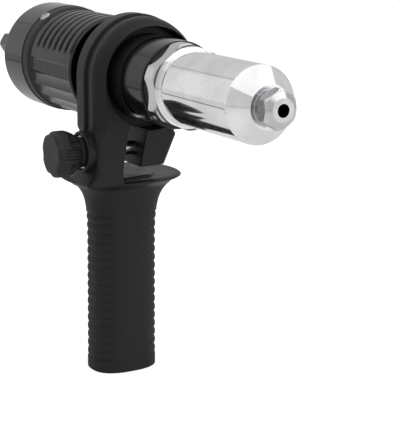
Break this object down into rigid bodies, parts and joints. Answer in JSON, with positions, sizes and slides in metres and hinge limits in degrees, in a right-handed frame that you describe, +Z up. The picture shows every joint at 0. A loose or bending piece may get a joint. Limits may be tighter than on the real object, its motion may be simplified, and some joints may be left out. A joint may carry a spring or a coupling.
{
  "type": "rivet drill adapter",
  "caption": "Blind-rivet pulling head for a drill: hex drive shank, grooved black body, chrome jaw barrel with a hex nosepiece, and a ribbed side handle clamped round it.",
  "frame": {"origin": "middle of the grip's flat bottom face", "axes": "+X from the drive shank towards the nosepiece, +Z up along the handle, -Y towards the clamp knob"},
  "size_m": [0.2573, 0.0693, 0.1579],
  "materials": {
    "collar_black": "smooth satin black oxide",
    "housing_black": "die casting with a matte black coating",
    "sleeve_black": "gloss black",
    "seal_rubber": "matte",
    "nose_chrome": "polished",
    "nosepiece_steel": "turned steel",
    "drive_steel": "oiled dark steel",
    "bearing_steel": "ground and polished",
    "jaw_steel": "hardened dark steel",
    "inner_steel": "machined steel",
    "spring_steel": "spring wire",
    "bronze": "machined bronze",
    "clamp_nylon": "fine-grained black nylon",
    "grip_nylon": "fine-grained black nylon",
    "knob_nylon": "fine-grained black nylon",
    "bolt_zinc": "zinc plated"
  },
  "bodies": {
    "handle": {"clamp_frame": "clamp_nylon", "grip": "grip_nylon", "clamp_bolt": "bolt_zinc"},
    "washer": {"clamp_washer": "bolt_zinc"},
    "knob": {"clamp_knob": "knob_nylon", "knob_insert": "bronze"},
    "tool": {"rear_collar": "collar_black", "main_housing": "housing_black", "lock_screw": "collar_black", "front_sleeve": "sleeve_black", "sealing_washer": "seal_rubber", "nose_housing": "nose_chrome", "nosepiece": "nosepiece_steel", "tube_bush": "bronze", "rear_bush": "bronze", "thrust_race_front": "bearing_steel"},
    "spindle": {"drive_spindle": "drive_steel", "retaining_ring": "spring_steel", "thrust_race_rear": "bearing_steel"},
    "ball_set": {"ball_cage": "bronze", "thrust_balls": "bearing_steel"},
    "puller": {"pull_nut": "bronze", "nut_keys": "inner_steel", "pull_tube": "inner_steel", "jaw_case": "inner_steel", "jaw_spring": "spring_steel"},
    "jaw_a": {"jaw_a": "jaw_steel"},
    "jaw_b": {"jaw_b": "jaw_steel"},
    "jaw_c": {"jaw_c": "jaw_steel"},
    "pusher": {"jaw_pusher": "bronze"}
  },
  "joints": [
    {"name": "handle_swivel", "type": "hinge", "parent": "handle", "child": "tool", "pos_m": [0.01, 0.0055, 0.1313], "axis": [1, 0, 0], "continuous": true},
    {"name": "washer_slide", "type": "slide", "parent": "handle", "child": "washer", "axis": [0, -1, 0], "range_m": [0, 0.002]},
    {"name": "knob_turn", "type": "hinge", "parent": "washer", "child": "knob", "pos_m": [0.01025, -0.03, 0.1009], "axis": [0, -1, 0], "range_deg": [0, 721]},
    {"name": "spindle_turn", "type": "hinge", "parent": "tool", "child": "spindle", "pos_m": [-0.085, 0.0055, 0.1313], "axis": [1, 0, 0], "range_deg": [0, 2162]},
    {"name": "ball_turn", "type": "hinge", "parent": "tool", "child": "ball_set", "pos_m": [-0.0672, 0.0055, 0.1313], "axis": [1, 0, 0], "range_deg": [0, 1081]},
    {"name": "pull_slide", "type": "slide", "parent": "tool", "child": "puller", "axis": [-1, 0, 0], "range_m": [0, 0.018]},
    {"name": "jaw_a_slide", "type": "slide", "parent": "puller", "child": "jaw_a", "axis": [-0.9659, 0, 0.2588], "range_m": [0, 0.0025], "stiffness_N_per_m": 1500, "springref_m": -0.002},
    {"name": "jaw_b_slide", "type": "slide", "parent": "puller", "child": "jaw_b", "axis": [-0.9659, -0.2241, -0.1294], "range_m": [0, 0.00251]},
    {"name": "jaw_c_slide", "type": "slide", "parent": "puller", "child": "jaw_c", "axis": [-0.9659, 0.2241, -0.1294], "range_m": [0, 0.00251]},
    {"name": "pusher_slide", "type": "slide", "parent": "puller", "child": "pusher", "axis": [-1, 0, 0], "range_m": [0, 0.00242], "deforming": ["jaw_spring"]}
  ],
  "couplings": [
    {"joint": "knob_turn", "follows": "washer_slide", "rad_per_m": 6283.2},
    {"joint": "spindle_turn", "follows": "pull_slide", "rad_per_m": 2094.4},
    {"joint": "ball_turn", "follows": "pull_slide", "rad_per_m": 1047.2},
    {"joint": "jaw_b_slide", "follows": "jaw_a_slide", "ratio": 1},
    {"joint": "jaw_c_slide", "follows": "jaw_a_slide", "ratio": 1},
    {"joint": "pusher_slide", "follows": "jaw_a_slide", "ratio": 0.96593}
  ]
}
